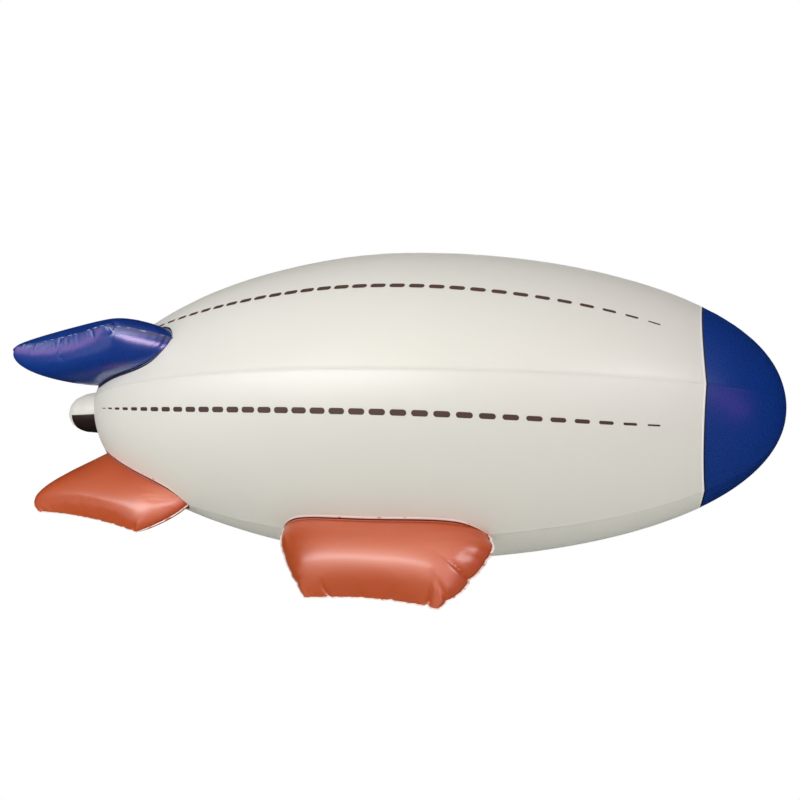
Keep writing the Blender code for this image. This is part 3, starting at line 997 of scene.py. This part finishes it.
def gondola_sides():
    return {
        "root": (GONDOLA_TOP_FRONT, middle_of(GONDOLA_TOP_FRONT, GONDOLA_TOP_REAR), GONDOLA_TOP_REAR),
        "outer": (GONDOLA_BOTTOM_FRONT, GONDOLA_BOTTOM_MID, GONDOLA_BOTTOM_REAR),
        "front": (GONDOLA_TOP_FRONT, *GONDOLA_FRONT_HANDLES, GONDOLA_BOTTOM_FRONT),
        "rear": (GONDOLA_TOP_REAR, *GONDOLA_REAR_HANDLES, GONDOLA_BOTTOM_REAR),
    }


class Pillow:
    """Where the two sheets of a pillow lie: the place of a point at shares along and out."""

    def __init__(self, sides, form, stance, creases, draw, foot):
        self.sides = sides
        self.foot_width, self.has_foot_glint = foot
        self.creases = creases
        root_draw, self.corner_draw = draw
        # The root's ends are found before they are drawn in
        self.root_draw = self.root_ends = (0.0, 0.0)
        self.half_thick, self.root_half_thick, self.ends, self.root_dip = form
        root_angle, lean, hinge, self.slope = stance
        look = settings("blimp_pillow")
        self.chord = (Vector(sides["outer"][0]) - Vector(sides["outer"][2])).length
        self.span = (Vector(sides["front"][0]) - Vector(sides["front"][-1])).length
        self.rim_u = look.rim_width / self.chord
        self.rim_v = look.rim_width / self.span
        self.away = outward(lean)
        self.side = Vector((1, 0, 0)).cross(self.away)
        self.hinge_shift = hinge * (outward(root_angle) - self.away)
        self.root_ends = (self.root_share(0.0, 1, 0.0), self.root_share(1.0, 1, 0.0))
        self.root_draw = root_draw

    def drawn_in(self, u, v):
        """Share along, with the ends of the root drawn in."""
        shifts = []
        for draw, start in zip(self.root_draw, self.root_ends):
            from_root = max(v - start, 0.0) * self.span / ROOT_DRAW_REACH
            shifts.append(draw * MM / self.chord * math.exp(-(from_root ** 1.5)))
        return u + shifts[0] * (1 - u) ** 3 - shifts[1] * u ** 3

    def flat(self, u, v):
        """Place in the pillow's plane."""
        sides = self.sides
        corners = (
            (1 - u) * (1 - v) * Vector(sides["root"][0])
            + u * (1 - v) * Vector(sides["root"][-1])
            + (1 - u) * v * Vector(sides["outer"][0])
            + u * v * Vector(sides["outer"][-1])
        )
        along = (1 - v) * side_at(sides["root"], u) + v * side_at(sides["outer"], u)
        out = (1 - u) * side_at(sides["front"], v) + u * side_at(sides["rear"], v)
        return along + out - corners

    def puff(self, u, v, sign):
        """Half the thickness: arcs from the root to the outer rim, closed towards both ends."""
        across = min(max((u - self.rim_u) / (1 - 2 * self.rim_u), 0.0), 1.0)
        out = min(v / (1 - self.rim_v), 1.0)
        power, roundness = self.ends[sign][0 if across < 0.5 else 1]
        ends = max(0.0, 1 - abs(2 * across - 1) ** power) ** roundness
        root = self.root_half_thick
        if sign > 0:
            root *= 1 - self.root_dip * math.exp(-(((u - ROOT_DIP_AT) / ROOT_DIP_REACH) ** 2))
        full = self.half_thick - root / 2
        bulge = (full + math.sqrt(full ** 2 - root ** 2 / 4)) / 2
        arc = (root + 4 * bulge * out) * (1 - out) / self.half_thick
        if min(ends, arc) < TINY:
            return 0.0
        hip = (2 / (ends ** -HIP_POWER + arc ** -HIP_POWER)) ** (1 / HIP_POWER)
        return self.half_thick * ((1 - HIP_SHARE) * ends * arc + HIP_SHARE * min(hip, 1.0))

    def place(self, u, v, half):
        """Point in space; half is the signed distance from the pillow's plane."""
        flat = self.flat(self.drawn_in(u, v), v)
        point = Vector((flat.x, 0, 0)) + flat.y * self.away + half * self.side + self.hinge_shift
        point.z -= self.slope * (FIN_SLOPE_FROM_X - point.x) + sag(point.x)
        return point

    def root_share(self, u, sign, rim_half):
        """Share out at which a sheet leaves the envelope's skin."""
        low, high = 0.0, ROOT_FURTHEST
        for _ in range(ROOT_HALVINGS):
            v = (low + high) / 2
            point = self.place(u, v, sign * (rim_half + self.puff(u, v, sign)))
            up = point.z + sag(point.x)
            angle = angle_of(point.y, up)
            if math.hypot(point.y, up) > skin_radius(point.x, angle) - ROOT_SINK:
                high = v
            else:
                low = v
        return high


def spread(share, even):
    """A share that stays in place in part and crowds towards both ends in part."""
    return even * share + (1 - even) * (1 - math.cos(math.pi * share)) / 2


def along_share(share, cells, rim):
    """Column share to place share: narrow cells on both rims, and crowding beside them."""
    cell = RIM_CELLS / cells
    if share <= cell:
        return share / cell * rim
    if share >= 1 - cell:
        return 1 - (1 - share) / cell * rim
    return rim + (1 - 2 * rim) * spread((share - cell) / (1 - 2 * cell), EVEN_ALONG)


def out_share(share, cells, rim, root):
    """Row share to place share: foot rows at the root, narrow cells on the far rim."""
    row = share * cells
    if row >= cells - RIM_CELLS:
        return 1 - (cells - row) / RIM_CELLS * rim
    inner = max(row - FOOT_ROWS, 0) / (cells - RIM_CELLS - FOOT_ROWS)
    return root + (1 - rim - root) * spread(inner, EVEN_OUT)


def small_crease(distance, place, seed):
    """Small creases at uneven places along a rim: sharp valleys, deepest at the rim."""
    look = settings("blimp_pillow")
    turn = place / look.spacing + CREASE_STRAY * noise.noise(Vector((place * 9, seed, 0.5)))
    valley = (1 - abs(math.sin(math.pi * turn))) ** VALLEY_SHARPNESS
    chance = noise.noise(Vector((round(turn) * 3.7, seed * 2.1, 3.0)))
    strength = smooth_step(CREASE_STRENGTH + CREASE_UNEVEN * chance)
    reach = CREASE_REACH + CREASE_MORE_REACH * strength
    return look.pucker * valley * strength * math.exp(-((distance / reach) ** 1.3))


def rim_effects(shape, u, v, sign, seed):
    """Depth of the creases at a place, and how far its shares are drawn in by them."""
    look = settings("blimp_pillow")
    sides = {
        "outer": ((1 - v - shape.rim_v) * shape.span, u, shape.chord),
        "front": ((u - shape.rim_u) * shape.chord, v, shape.span),
        "rear": ((1 - u - shape.rim_u) * shape.chord, v, shape.span),
    }
    depth = 0.0
    pull = {}
    for number, (side, (distance, share, length)) in enumerate(sides.items()):
        inside = max(distance, 0.0)
        depth += small_crease(inside, share * length, seed + 4 * number + sign * 0.37)
        draw = 0.0
        for kind, place, deep, reach, half_width, rim_pull, drift in shape.creases:
            if kind != side:
                continue
            aside = (share - place) * length - drift * inside
            wide = half_width * MM * (1 + CREASE_WIDENING * inside / (reach * MM))
            valley = math.exp(-((abs(aside) / wide) ** CREASE_SHARPNESS))
            depth += deep * MM * valley * math.exp(-((inside / (reach * MM)) ** 2))
            beside = math.exp(-((aside / (PULL_WIDTH * wide)) ** 2))
            draw += rim_pull * MM * beside * math.exp(-inside / PULL_REACH)
        frill = look.frill * noise.noise(Vector((share * length / FRILL_LENGTH, seed + number, 7.0)))
        pull[side] = draw + frill * math.exp(-inside / FRILL_REACH)
    outer, front, rear = (
        max(0.0, 1 - max(distance, 0.0) / look.corner_reach) for distance, _, _ in sides.values()
    )
    corner_front = shape.corner_draw[0] * MM * (outer * front) ** 2
    corner_rear = shape.corner_draw[1] * MM * (outer * rear) ** 2
    shift_u = (pull["front"] - pull["rear"] + corner_front - corner_rear) / shape.chord
    shift_v = -(pull["outer"] + corner_front + corner_rear) / shape.span
    return depth, shift_u, shift_v


def rim_wave(shape, u, v, seed):
    """How far the middle plane of the rim waves to one side."""
    look = settings("blimp_pillow")
    distance = min((1 - v) * shape.span, u * shape.chord, (1 - u) * shape.chord)
    flat = shape.flat(u, v)
    ripple = noise.noise(Vector((flat.x / WAVE_LENGTH, flat.y / WAVE_LENGTH, seed)))
    return look.wave * ripple * math.exp(-max(distance, 0.0) / WAVE_REACH)


def foot_point(shape, point, u, sign, row):
    """Point of the strip that welds a sheet to the envelope, which narrows towards both ends."""
    aside, lift = FOOT_PROFILE[row]
    low = Vector((0, point.y, point.z + sag(point.x)))
    angle = angle_of(low.y, low.z)
    turn = math.radians(angle)
    along = math.copysign(1, sign * shape.side.dot(Vector((0, -math.cos(turn), math.sin(turn)))))
    full = smooth_step(min(u, 1 - u) / FOOT_END_REACH)
    width = shape.foot_width * (FOOT_END_SHARE + (1 - FOOT_END_SHARE) * full)
    step = math.degrees(aside * width / low.length)
    return skin_point(point.x, angle + along * step, lift * MM)


def pillow_sheet(shape, columns, rows, sign, seed):
    """One sheet of a pillow, root at the skin, with its share of the rim."""
    look = settings("blimp_pillow")
    bm = bmesh.new()
    bmesh.ops.create_grid(bm, x_segments=columns, y_segments=rows, size=0.5)
    held, loose, free, edge, seam = (bm.verts.layers.float.new(name) for name in LAYERS)
    roots = {}
    for vert in bm.verts:
        share_u, share_w = vert.co.x + 0.5, vert.co.y + 0.5
        u = along_share(share_u, columns, shape.rim_u)
        column, row = round(share_u * columns), round(share_w * rows)
        if column not in roots:
            roots[column] = shape.root_share(u, sign, look.rim_half)
        v = out_share(share_w, rows, shape.rim_v, roots[column])
        half = shape.puff(u, v, sign)
        to_outer = (1 - v - shape.rim_v) * shape.span
        to_ends = (min(u, 1 - u) - shape.rim_u) * shape.chord
        from_root = (v - roots[column]) * shape.span
        near_root = 1 - smooth_step(from_root / ROOT_HOLD_REACH)
        depth, shift_u, shift_v = rim_effects(shape, u, v, sign, seed)
        crease = min(depth, half * DEEPEST_CREASE) * (1 - near_root)
        shift_u *= 1 - near_root
        aside = rim_wave(shape, u, v, seed) * (1 - near_root)
        vert.co = shape.place(u + shift_u, v + shift_v, aside + sign * (look.rim_half + half - crease))
        if row < FOOT_ROWS:
            vert.co = foot_point(shape, vert.co, u, sign, row)
        to_rim = min(to_outer, to_ends)
        vert[held] = max(near_root, 0.0 if half > 0 else look.rim_hold)
        vert[free] = smooth_step(from_root / ROOT_FREE_REACH)
        # Painted marks: a glint on the open rim and on a pale weld strip, painted shade along the rim's
        # inner border and in the groove at the root
        on_foot = row < FOOT_ROWS - 2
        vert[edge] = FOOT_GLINT_STRENGTH if on_foot and shape.has_foot_glint else float(to_rim < -TINY)
        if abs(to_rim) <= TINY:
            vert[seam] = DARK_WELD_AND_SHADE
        elif row <= FOOT_ROWS and not (on_foot and shape.has_foot_glint):
            vert[seam] = 1.0
        vert[loose] = (1 - smooth_step(to_rim / look.loose_reach)) * (1 - near_root)
    return bm


def blown_up(bm):
    """Blow the sheets up with Cloth and return how far every point moves."""
    look = settings("blimp_pillow")
    thing = new_object("blown", bm)
    mesh = thing.data
    scene = bpy.context.scene
    for layer in ("held", "loose"):
        group = thing.vertex_groups.new(name=layer)
        for index, value in enumerate(mesh.attributes[layer].data):
            if value.value > 0:
                group.add([index], value.value, "REPLACE")
    cloth = thing.modifiers.new("blown", "CLOTH")
    film = cloth.settings
    film.quality = look.quality
    film.mass = FILM_MASS
    film.tension_stiffness = film.compression_stiffness = look.stiffness
    film.shear_stiffness = look.stiffness / 3
    film.bending_stiffness = look.bending
    film.air_damping = 1.0
    film.use_pressure = True
    film.uniform_pressure_force = look.pressure
    film.vertex_group_mass = "held"
    film.pin_stiffness = 1.0
    film.vertex_group_shrink = "loose"
    film.shrink_min = 0.0
    film.shrink_max = -look.growth
    film.effector_weights.gravity = 0.0
    cloth.collision_settings.use_collision = False
    cloth.point_cache.frame_start = 1
    cloth.point_cache.frame_end = look.frames
    scene.frame_start, scene.frame_end = 1, look.frames
    for number in range(1, look.frames + 1):
        scene.frame_set(number)
    blown = thing.evaluated_get(bpy.context.evaluated_depsgraph_get()).data
    before = np.empty(len(mesh.vertices) * 3)
    after = np.empty(len(mesh.vertices) * 3)
    mesh.vertices.foreach_get("co", before)
    blown.vertices.foreach_get("co", after)
    bpy.data.objects.remove(thing)
    bpy.data.meshes.remove(mesh)
    scene.frame_set(1)
    return (after - before).reshape(-1, 3)


def slow_part(bm, moves, rounds):
    """The slow part of a field of moves: the same mesh carries them and is smoothed."""
    field = bm.copy()
    for vert, move in zip(field.verts, moves):
        vert.co = move
    for _ in range(rounds):
        bmesh.ops.smooth_vert(
            field, verts=field.verts, factor=SMOOTHING, use_axis_x=True, use_axis_y=True,
            use_axis_z=True,
        )
    slow = np.array([vert.co for vert in field.verts])
    field.free()
    return slow


def welded_pillow(shape, size, seed):
    """Two sheets welded round their rim and blown up, of which only the ripples are kept."""
    look = settings("blimp_pillow")
    columns, rows = size
    bm = bmesh.new()
    for sign in (1, -1):
        take_in(bm, pillow_sheet(shape, columns, rows, sign, seed))
    bmesh.ops.remove_doubles(bm, verts=bm.verts, dist=0.01 * MM)
    held = bm.verts.layers.float["held"]
    rims = [
        edge for edge in bm.edges
        if edge.is_boundary and min(vert[held] for vert in edge.verts) < HELD
    ]
    bmesh.ops.bridge_loops(bm, edges=rims)
    bmesh.ops.recalc_face_normals(bm, faces=bm.faces)
    moves = blown_up(bm)
    moves -= slow_part(bm, moves, look.slow_rounds)
    length = np.linalg.norm(moves, axis=1, keepdims=True)
    moves *= np.minimum(1.0, look.most_moved / np.maximum(length, TINY))
    free = bm.verts.layers.float["free"]
    for vert, move in zip(bm.verts, moves):
        vert.co += Vector(move) * vert[free] * look.ripple
    return bm


def finish_pillow(name, bm, finish, node):
    piece = finish_piece(name, bm, [finish], [node], smooth_angle=75)
    finer = piece.modifiers.new("finer", "SUBSURF")
    finer.levels = finer.render_levels = 1


class BLIMP_OT_fins(bpy.types.Operator):
    """Inflate the four tail fins"""

    bl_idname = "blimp.fins"
    bl_label = "Tail fins"

    def execute(self, context):
        for row in FINS:
            stance = (row["root_angle"], row["lean"], FIN_HINGE_R, row["slope"])
            sides = fin_sides(row["draw_in"], row["rear_handles"])
            shape = Pillow(sides, row["form"], stance, row["creases"], FIN_DRAW, row["foot"])
            bm = welded_pillow(shape, FIN_CELLS, row["seed"])
            twin = bm.copy()
            for vert in twin.verts:
                vert.co.y *= -1
                if row["twin"] == "top":
                    vert.co.z = -vert.co.z - 2 * sag(vert.co.x)
            if row["twin"] == "port":
                bmesh.ops.reverse_faces(twin, faces=twin.faces)
            for side, mesh in ((row["name"], bm), (row["twin"], twin)):
                finish_pillow(f"inflated_fin_{side}", mesh, row["finish"], f"fin_{side}")
        return {"FINISHED"}


class BLIMP_OT_gondola(bpy.types.Operator):
    """Inflate the gondola"""

    bl_idname = "blimp.gondola"
    bl_label = "Gondola"

    def execute(self, context):
        shape = Pillow(
            gondola_sides(), GONDOLA_FORM, GONDOLA_STANCE, GONDOLA_CREASES, GONDOLA_DRAW, GONDOLA_FOOT
        )
        bm = welded_pillow(shape, GONDOLA_CELLS, GONDOLA_SEED)
        finish_pillow("inflated_gondola", bm, "orange", "gondola")
        return {"FINISHED"}


# Stage

def walls_light(tree, walls, strength):
    """A background lit by walls: each gives its colour, falling off away from its middle."""
    heading = add_node(tree, "ShaderNodeTexCoord").outputs["Generated"]
    total = None
    for axis, colour, sharpness in walls:
        facing = add_node(
            tree, "ShaderNodeVectorMath", {1: axis}, {0: heading}, operation="DOT_PRODUCT"
        )
        front = add_node(
            tree, "ShaderNodeMath", {1: 0.0}, {0: facing.outputs["Value"]}, operation="MAXIMUM"
        )
        share = add_node(
            tree, "ShaderNodeMath", {1: sharpness}, {0: front.outputs[0]}, operation="POWER"
        )
        part = add_node(
            tree, "ShaderNodeVectorMath", {0: colour}, {"Scale": share.outputs[0]}, operation="SCALE"
        )
        if total:
            part = add_node(
                tree, "ShaderNodeVectorMath", None, {0: total.outputs[0], 1: part.outputs[0]},
                operation="ADD",
            )
        total = part
    return add_node(tree, "ShaderNodeBackground", {"Strength": strength}, {"Color": total.outputs[0]})


def soft_light(name, place, aim, size, power, colour, turn=0.0, shown_on=None):
    """A rectangular lamp; one that is shown on a piece lights only that piece's gloss."""
    lamp = bpy.data.lights.new(name, "AREA")
    lamp.shape = "RECTANGLE"
    lamp.size, lamp.size_y = size
    lamp.energy = power
    lamp.color = colour
    thing = bpy.data.objects.new(name, lamp)
    thing.location = place
    facing = Vector(UP) if aim == UP else Vector(aim) - Vector(place)
    turned = Quaternion((0, 0, 1), math.radians(turn))
    thing.rotation_euler = (facing.to_track_quat("-Z", "Y") @ turned).to_euler()
    if shown_on:
        pieces = bpy.data.collections.new(name)
        pieces.objects.link(bpy.data.objects[shown_on])
        thing.light_linking.receiver_collection = pieces
        thing.visible_diffuse = False
    bpy.context.scene.collection.objects.link(thing)


class BLIMP_OT_stage(bpy.types.Operator):
    """Set up the camera, the floor and the soft light"""

    bl_idname = "blimp.stage"
    bl_label = "Stage"

    def execute(self, context):
        look = settings("blimp_stage")
        scene = bpy.context.scene
        data = bpy.data.cameras.new("camera")
        data.lens = CAMERA_LENS_MM
        data.sensor_width = 36
        data.clip_start = 0.01
        data.clip_end = 200
        camera = bpy.data.objects.new("camera", data)
        right = CAMERA_LOOK.cross(CAMERA_UP).normalized()
        back = -CAMERA_LOOK.normalized()
        turn = Matrix((right, back.cross(right), back)).transposed().to_4x4()
        turn.translation = CAMERA_PLACE
        camera.matrix_world = turn
        scene.collection.objects.link(camera)
        scene.camera = camera

        bm = bmesh.new()
        bmesh.ops.create_circle(bm, cap_ends=True, radius=FLOOR_RADIUS, segments=96)
        bmesh.ops.translate(bm, vec=(0, 0, FLOOR_Z), verts=bm.verts)
        floor = new_object("floor", bm)
        bm.free()
        material, tree, shader = new_material("pale_floor")
        shader.inputs["Base Color"].default_value = look.floor
        shader.inputs["Roughness"].default_value = 0.8
        floor.data.materials.append(material)
        floor.visible_glossy = False

        world = bpy.data.worlds.new("studio")
        scene.world = world
        world.cycles.sampling_method = "NONE"
        world.use_nodes = True
        tree = world.node_tree
        backdrop = tree.nodes["Background"]
        backdrop.inputs["Color"].default_value = (1, 1, 1, 1)
        backdrop.inputs["Strength"].default_value = 1.0
        room = walls_light(tree, ROOM_WALLS, look.room)
        gloss = walls_light(tree, GLOSS_WALLS, look.gloss)
        path = add_node(tree, "ShaderNodeLightPath")
        for sort, source in (("Is Glossy Ray", gloss), ("Is Camera Ray", backdrop)):
            room = add_node(
                tree, "ShaderNodeMixShader", None,
                {0: path.outputs[sort], 1: room.outputs[0], 2: source.outputs[0]},
            )
        tree.links.new(room.outputs[0], tree.nodes["World Output"].inputs["Surface"])

        for row in LIGHTS:
            soft_light(*row)
        for row in GLINTS:
            soft_light(*row, shown_on=GLINT_PIECE)
        scene.view_settings.view_transform = "Standard"
        return {"FINISHED"}


class BLIMP_PT_panel(bpy.types.Panel):
    """Lists the operators that build the blimp"""

    bl_idname = "BLIMP_PT_panel"
    bl_label = "Blimp balloon"
    bl_space_type = "VIEW_3D"
    bl_region_type = "UI"
    bl_category = "Blimp"

    def draw(self, context):
        for operator in OPERATORS:
            self.layout.operator(operator.bl_idname)


GROUPS = {
    "blimp_envelope": EnvelopeSettings,
    "blimp_print": PrintSettings,
    "blimp_pillow": PillowSettings,
    "blimp_stage": StageSettings,
}
OPERATORS = (
    BLIMP_OT_gores, BLIMP_OT_dashes, BLIMP_OT_tail_end, BLIMP_OT_fins, BLIMP_OT_gondola, BLIMP_OT_stage,
)


def register():
    for group in GROUPS.values():
        bpy.utils.register_class(group)
    for name, group in GROUPS.items():
        setattr(bpy.types.Scene, name, bpy.props.PointerProperty(type=group))
    for operator in OPERATORS:
        bpy.utils.register_class(operator)
    bpy.utils.register_class(BLIMP_PT_panel)


def unregister():
    bpy.utils.unregister_class(BLIMP_PT_panel)
    for operator in reversed(OPERATORS):
        bpy.utils.unregister_class(operator)
    for name, group in GROUPS.items():
        delattr(bpy.types.Scene, name)
        bpy.utils.unregister_class(group)


def main():
    register()
    bpy.ops.blimp.gores()
    bpy.ops.blimp.dashes()
    bpy.ops.blimp.tail_end()
    bpy.ops.blimp.fins()
    bpy.ops.blimp.gondola()
    bpy.ops.blimp.stage()


if __name__ == "__main__":
    main()
